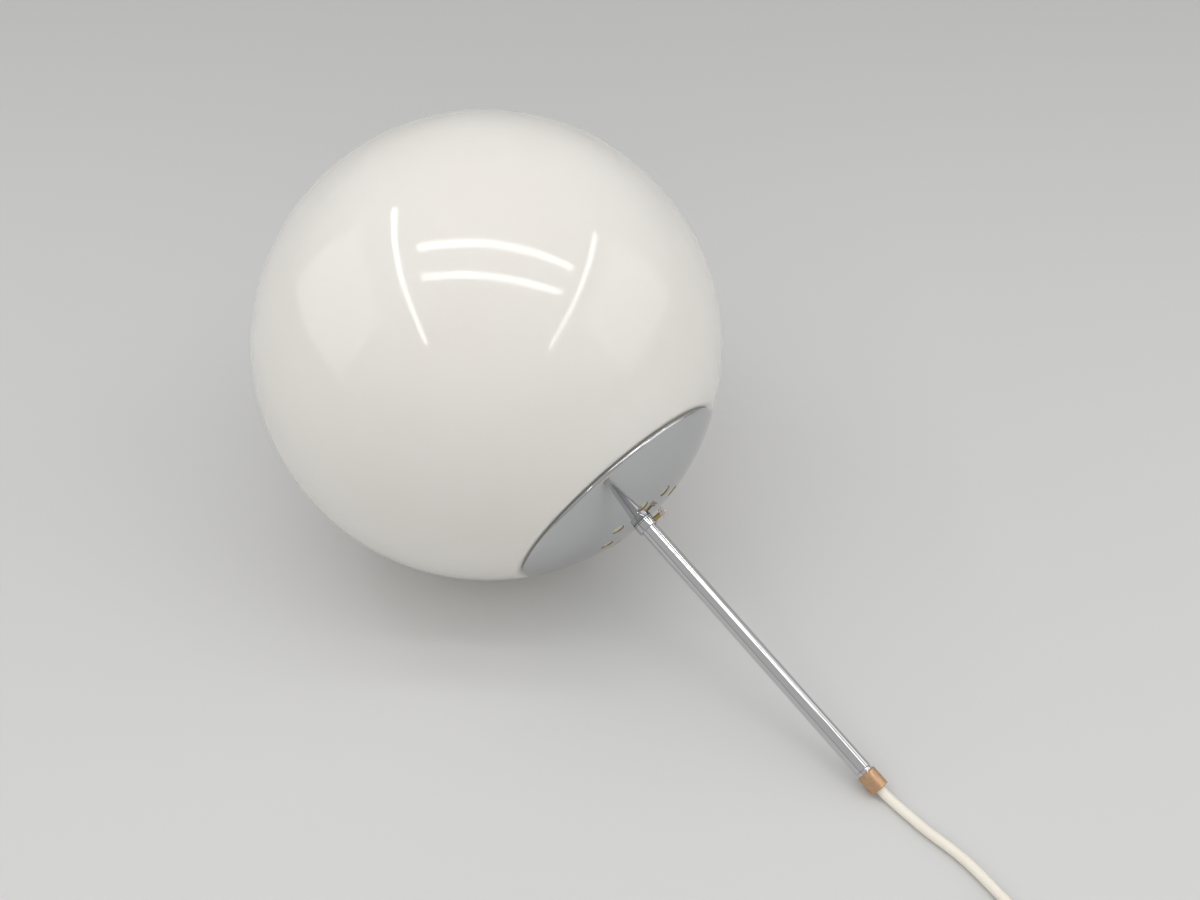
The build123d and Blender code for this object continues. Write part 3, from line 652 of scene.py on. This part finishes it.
def capTree():
    tree = Tree(
        "Vented Cap",
        [
            ("Segments", "NodeSocketInt", 192),
            ("Vents", "NodeSocketInt", 8),
            ("Vent Radius", "NodeSocketFloat", 0.004),
            ("Vent Ring", "NodeSocketFloat", 0.027),
            ("First Vent", "NodeSocketFloat", 0.0),
            ("Dome Radius", "NodeSocketFloat", 0.147),
            ("Dome Centre", "NodeSocketFloat", 0.0),
            ("Edge Material", "NodeSocketMaterial", None),
        ],
    )
    skin = spun(tree, tree.value("Segments"))
    skin = tree.paint(skin, "Material")
    punch = tree.node(
        "GeometryNodeMeshCylinder", Vertices=64, Radius=tree.value("Vent Radius"), Depth=0.012
    ).outputs[0]
    punch = tree.paint(punch, "Edge Material")
    lean = tree.math("ARCSINE", tree.math("DIVIDE", tree.value("Vent Ring"), tree.value("Dome Radius")))
    up = tree.node("ShaderNodeCombineXYZ", Z=tree.value("Dome Radius")).outputs[0]
    tip = tree.node("ShaderNodeCombineXYZ", Y=lean).outputs[0]
    punch = tree.node("GeometryNodeTransform", Geometry=punch, Translation=up).outputs[0]
    punch = tree.node("GeometryNodeTransform", Geometry=punch, Rotation=tip).outputs[0]
    points = tree.node("GeometryNodePoints", Count=tree.value("Vents")).outputs[0]
    index = tree.node("GeometryNodeInputIndex").outputs[0]
    share = tree.math("DIVIDE", index, tree.value("Vents"))
    turn = tree.math("ADD", tree.math("MULTIPLY", share, 2 * pi), tree.value("First Vent"))
    spin = tree.node("ShaderNodeCombineXYZ", Z=turn).outputs[0]
    ring = tree.node(
        "GeometryNodeInstanceOnPoints", Points=points, Instance=punch, Rotation=spin
    ).outputs[0]
    ring = tree.node("GeometryNodeRealizeInstances", Geometry=ring).outputs[0]
    centre = tree.node("ShaderNodeCombineXYZ", Z=tree.value("Dome Centre")).outputs[0]
    ring = tree.node("GeometryNodeTransform", Geometry=ring, Translation=centre).outputs[0]
    cut = tree.tree.nodes.new("GeometryNodeMeshBoolean")
    cut.operation = "DIFFERENCE"
    cut.solver = "EXACT"
    tree.tree.links.new(skin, cut.inputs[0])
    tree.tree.links.new(ring, cut.inputs[1])
    return tree.finish(cut.outputs[0], painted=True)


def makeCap():
    plan = capPlan
    radius, centre, rimX, rimZ = domeCircle()
    slope = asin(rimX / (radius - plan["curl"]))
    start = asin(plan["holeRadius"] / radius)
    innerStart = asin(plan["holeRadius"] / (radius - plan["sheet"]))
    stop = radians(plan["curlTurn"])
    sheet = plan["sheet"]

    def band(middle, reach, first, last, count):
        return arc(middle, reach, pi / 2 - first, pi / 2 - last, count)

    outline = band((0, centre), radius, start, slope, plan["rings"])
    outline += band((rimX, rimZ), plan["curl"], slope, stop, 20)[1:]
    outline += band((rimX, rimZ), plan["curl"] - sheet, stop, slope, 12)
    outline += band((0, centre), radius - sheet, slope, innerStart, plan["rings"])[1:]
    mesh = outlineMesh("capOutline", outline, True)
    values = {
        "Segments": plan["segments"],
        "Vents": plan["vents"],
        "Vent Radius": plan["ventRadius"],
        "Vent Ring": plan["ventRing"],
        "First Vent": radians(plan["firstVent"]),
        "Dome Radius": radius,
        "Dome Centre": centre,
        "Edge Material": ventEdge,
        "Material": finishes["chrome"],
    }
    source = grown("mirrorCap", mesh, capTree(), values)
    cap = settle(source, "mirrorCap", 25.0)
    cap.data.materials.append(capLiningPaintedGlow)
    back = lampFrame.inverted()
    for face in cap.data.polygons:  # the dome's inside is lacquered cream, with a painted glow standing in for the light inside the globe
        x, y, z = back @ face.center
        inside = sqrt(x * x + y * y + (z - centre) ** 2) < radius - sheet * 0.98
        if inside and sqrt(x * x + y * y) < rimX - plan["curl"]:
            face.material_index = len(cap.data.materials) - 1
    return cap


# Collar, rod and the rod's end

collarPlan = {
    "radius": 0.007,
    "height": 0.0066,
    "bore": 0.00556,
    "soft": 0.0004,
    "groove": 0.00035,
    "waist": 0.0012,  # the groove's height above the dome
    "mouthWidth": 0.0005,
    "mouthDepth": 0.0010,
    "spigotRadius": 0.0063,
    "spigotBelowNut": 0.0006,
    "nutRadius": 0.0105,
    "nutHeight": 0.003,
    "nutGap": 0.00005,
}
rodPlan = {
    "radius": 0.0055,
    "bore": 0.00425,
    "length": 0.24385,
    "edge": 0.0003,
    "threadRadius": 0.005,
    "threadLength": 0.019,
    "threadDepth": 0.00035,
    "threadPitch": 0.0008,
    "threadRelief": 0.0016,
}
holderPlan = {
    "pivotDrop": 0.0237,
    "earRadius": 0.0035,
    "earGap": 0.0003,
    "hubSheet": 0.0016,
    "washer": 0.0016,
}
endPlan = {
    "neckRadius": 0.0051,
    "neckLength": 0.0024,
    "spigotRadius": 0.0042,
    "spigotLength": 0.010,
    "bore": 0.0033,
    "threadRadius": 0.0048,
    "threadLength": 0.005,
    "capRadius": 0.0062,
    "capLength": 0.0126,
    "capFloor": 0.0036,
    "capSoft": 0.0005,
    "capBore": 0.00485,
    "boreSoft": 0.0002,
    "bushSoft": 0.00015,
}
rodShoulder = mouthZ - holderPlan["pivotDrop"] + holderPlan["earRadius"] + holderPlan["earGap"]
rodShoulder += holderPlan["hubSheet"] + holderPlan["washer"]
rodTop = rodShoulder + rodPlan["length"]
endPlan["neckTop"] = rodTop + endPlan["neckLength"]
endPlan["capTop"] = endPlan["neckTop"] + endPlan["capLength"]


def makeRod():
    plan = rodPlan
    low, edge, radius = rodShoulder - plan["threadLength"], plan["edge"], plan["radius"]
    crest, depth = plan["threadRadius"], plan["threadDepth"]
    root = crest - depth
    outline = [(plan["bore"], low), (crest - edge, low)]
    z = low + edge
    while z < rodShoulder - plan["threadRelief"]:  # the thread as fine rings
        outline += [(root, z), (crest, z + depth), (root, z + 2 * depth)]
        z += plan["threadPitch"]
    outline += [(root, rodShoulder), (radius - edge, rodShoulder), (radius, rodShoulder + edge)]
    outline += [(radius, rodTop - edge), (radius - edge, rodTop), (plan["bore"], rodTop)]
    return turnedPiece("rodTube", outline, rodFinish, 128, 25.0)


def makeBush():
    plan = endPlan
    corners = [
        (plan["bore"], rodTop - plan["spigotLength"]),
        (plan["spigotRadius"], rodTop - plan["spigotLength"]),
        (plan["spigotRadius"], rodTop),
        (plan["neckRadius"], rodTop),
        (plan["neckRadius"], plan["neckTop"]),
        (plan["threadRadius"], plan["neckTop"]),
        (plan["threadRadius"], plan["neckTop"] + plan["threadLength"]),
        (plan["bore"], plan["neckTop"] + plan["threadLength"]),
    ]
    return turnedPiece("rodEndBush", softened(corners, plan["bushSoft"], 2), rodFinish, 96)


def makeEndCap():
    plan = endPlan
    top, low, soft = plan["capTop"], plan["neckTop"], plan["capSoft"]
    radius = plan["capRadius"]
    outline = arc((radius - soft, low + soft), soft, -pi / 2, 0, 6)
    outline += arc((radius - soft, top - soft), soft, 0, pi / 2, 6)
    bore, small = plan["bore"], plan["boreSoft"]
    outline += [(bore + small, top), (bore, top - small)]
    outline += [(bore, top - plan["capFloor"]), (plan["capBore"], top - plan["capFloor"])]
    outline += [(plan["capBore"], low)]
    return turnedPiece("rodEndCap", outline, finishes["brown_cap"], 96, 35.0)


def makeCollar():
    plan = collarPlan
    domeRadius, centre, _, _ = domeCircle()
    nutTop = centre + sqrt((domeRadius - capPlan["sheet"]) ** 2 - plan["nutRadius"] ** 2) - plan["nutGap"]
    low = nutTop - plan["nutHeight"] - plan["spigotBelowNut"]
    top = domeTop + plan["height"]
    radius, bore, spigot = plan["radius"], plan["bore"], plan["spigotRadius"]
    soft, groove = plan["soft"], plan["groove"]
    waist = domeTop + plan["waist"]
    outline = [(bore, low), (spigot, low), (spigot, domeTop), (radius - groove, domeTop)]
    outline += [(radius, domeTop + groove), (radius, waist - groove / 2)]
    outline += [(radius - groove, waist), (radius, waist + groove / 2)]
    outline += arc((radius - soft, top - soft), soft, 0, pi / 2, 5)
    outline += [(bore + plan["mouthWidth"], top), (bore, top - plan["mouthDepth"])]
    return turnedPiece("slidingCollar", outline, finishes["chrome"], 96, 30.0)


# Thumb screw: a bright shank and a knurled, grooved head

screwPlan = {
    "angle": 125.0,
    "height": 0.0044,
    "shankRadius": 0.0015,
    "tip": 0.0056,
    "headStart": 0.0112,
    "headRadius": 0.003,
    "headLength": 0.0036,
    "coreRadius": 0.00262,
    "grooveWidth": 0.0009,
    "grooveDepth": 0.0007,
    "ridges": 28,
    "soft": 0.0003,
    "headSoft": 0.0002,
}


def screwTree():
    tree = Tree(
        "Knurled Head",
        [
            ("Segments", "NodeSocketInt", 48),
            ("Ridges", "NodeSocketInt", 28),
            ("Head Radius", "NodeSocketFloat", 0.003),
            ("Core Radius", "NodeSocketFloat", 0.0026),
            ("Head Start", "NodeSocketFloat", 0.01),
            ("Head Length", "NodeSocketFloat", 0.0036),
            ("Groove", "NodeSocketFloat", 0.0006),
        ],
    )
    skin = spun(tree, tree.value("Segments"))
    depth = tree.math("SUBTRACT", tree.value("Head Radius"), tree.value("Core Radius"))
    run = tree.math("DIVIDE", tree.math("SUBTRACT", tree.value("Head Length"), tree.value("Groove")), 2.0)
    ridge = tree.node(
        "GeometryNodeMeshCylinder", Vertices=4, Radius=depth, Depth=tree.math("MULTIPLY", run, 0.94)
    ).outputs[0]
    points = tree.node("GeometryNodePoints", Count=tree.value("Ridges")).outputs[0]
    index = tree.node("GeometryNodeInputIndex").outputs[0]
    turn = tree.math("MULTIPLY", tree.math("DIVIDE", index, tree.value("Ridges")), 2 * pi)
    spin = tree.node("ShaderNodeCombineXYZ", Z=turn).outputs[0]
    rings = []
    for place in (0.25, 0.75):
        rise = tree.math("MULTIPLY", tree.value("Head Length"), place)
        z = tree.math("ADD", tree.value("Head Start"), rise)
        shift = tree.node("ShaderNodeCombineXYZ", X=tree.value("Core Radius"), Z=z).outputs[0]
        moved = tree.node("GeometryNodeTransform", Geometry=ridge, Translation=shift).outputs[0]
        ring = tree.node("GeometryNodeInstanceOnPoints", Points=points, Instance=moved, Rotation=spin)
        rings.append(ring.outputs[0])
    return tree.finish(tree.join(skin, *rings))


def makeScrew():
    plan = screwPlan
    start, stop = plan["headStart"], plan["headStart"] + plan["headLength"]
    core, shank = plan["coreRadius"], plan["shankRadius"]
    middle, half = (start + stop) / 2, plan["grooveWidth"] / 2
    tip, soft, headSoft = plan["tip"], plan["soft"], plan["headSoft"]
    outline = [(0.0, tip), (shank - soft, tip), (shank, tip + soft), (shank, start)]
    outline += [(core - headSoft, start), (core, start + headSoft), (core, middle - half)]
    floor = core - plan["grooveDepth"]
    outline += [(floor, middle - half * 0.8), (floor, middle + half * 0.8), (core, middle + half)]
    outline += [(core, stop - soft), (core - soft, stop), (0.0, stop)]
    mesh = outlineMesh("screwOutline", outline, False)
    values = {
        "Ridges": plan["ridges"],
        "Head Radius": plan["headRadius"],
        "Core Radius": core,
        "Head Start": start,
        "Head Length": plan["headLength"],
        "Groove": plan["grooveWidth"],
        "Material": finishes["nickel_screw"],
    }
    source = grown("thumbScrew", mesh, screwTree(), values)
    height = domeTop + plan["height"]
    placed = (
        lampFrame
        @ Matrix.Rotation(radians(plan["angle"]), 4, "Z")
        @ Matrix.Translation((0, 0, height))
        @ Matrix.Rotation(pi / 2, 4, "Y")
    )
    screw = settle(source, "thumbScrew", 30.0, placed)
    back = placed.inverted()
    screw.data.materials.append(shankBrass)
    for face in screw.data.polygons:  # the shank, up to the head's underside
        if (back @ face.center).z < start - 0.00005:
            face.material_index = len(screw.data.materials) - 1
    return screw


# The rest: copies of the CAD pieces with their edges softened

def softCopy(node, width, segments=2, crease=35.0):
    source = nodes[node]
    mesh = source.data.copy()
    mesh.materials.clear()
    shell = bmesh.new()
    shell.from_mesh(mesh)
    bmesh.ops.remove_doubles(shell, verts=shell.verts, dist=0.000002)
    bmesh.ops.dissolve_limit(shell, angle_limit=radians(0.6), verts=shell.verts, edges=shell.edges)
    shell.to_mesh(mesh)
    shell.free()
    name = "".join(word.capitalize() if i else word for i, word in enumerate(node.split("_")))
    piece = bpy.data.objects.new(name + "Source", mesh)
    scene.collection.objects.link(piece)
    if width:
        bevel = piece.modifiers.new("edges", "BEVEL")
        bevel.width = width
        bevel.segments = segments
        bevel.limit_method = "ANGLE"
        bevel.angle_limit = radians(crease)
        bevel.use_clamp_overlap = True
    depsgraph = bpy.context.evaluated_depsgraph_get()
    finished = bpy.data.meshes.new_from_object(piece.evaluated_get(depsgraph))
    piece.modifiers.clear()
    bpy.data.objects.remove(piece)
    finished.shade_smooth()
    finished.set_sharp_from_angle(angle=radians(crease))
    finished.name = name
    result = bpy.data.objects.new(name, finished)
    scene.collection.objects.link(result)
    return result


bodies = frame["record"]["behaviour"]["bodies"]
bodyOf = {node: body for body, members in bodies.items() for node in members}
slotOf = {part["node"]: part["material_slot"] for part in frame["record"]["subparts"]}
softEdges = {
    "cap_ring_nut": 0.0002, "cord_grip_ring": 0.0001, "holder_hub": 0.0003, "holder_pins": 0.00015,
    "holder_washer": 0.0002, "holder_nut": 0.0003, "holder_arm_1": 0.0003, "holder_arm_2": 0.0003,
    "holder_arm_3": 0.0003, "arm_tip_1": 0.0002, "arm_tip_2": 0.0002, "arm_tip_3": 0.0002,
    "arm_spring_1": 0.0, "arm_spring_2": 0.0, "arm_spring_3": 0.0, "socket_cap": 0.0004,
    "socket_skirt": 0.0003, "socket_insert": 0.0003, "socket_thread_shell": 0.0001,
    "socket_centre_contact": 0.0001, "socket_terminals": 0.0002, "terminal_screws": 0.0001,
    "bulb_glass": 0.0, "bulb_base": 0.0, "bulb_insulator": 0.0002, "bulb_contact": 0.0003,
    "rod_cord": 0.0, "lamp_cores": 0.0, "cord_tie": 0.00015, "cord_cores": 0.0, "core_ferrules": 0.0001,
}

setCamera()
setStudio()
lead = makeCord()
for node, width in softEdges.items():
    piece = softCopy(node, width)
    piece.data.materials.append(finishes[slotOf[node]])
    dress(piece, bodyOf[node], slotOf[node], node)
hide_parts("mains_cord", "cord_coil")
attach(lead, "stem")
print("cord laid")

dress(makeGlobe(), "globe", "opal_glass", "glass_globe")
dress(makeCap(), "cap", "chrome", "cap_dome")
dress(makeCollar(), "cap", "chrome", "cap_collar")
dress(makeRod(), "stem", "chrome", "rod_tube")
dress(makeBush(), "stem", "chrome", "rod_end_bush")
dress(makeEndCap(), "stem", "brown_cap", "rod_end_cap")
dress(makeScrew(), "thumb_screw", "nickel_screw", "thumb_screw")

scene.view_settings.view_transform = "Standard"
print("lamp made")
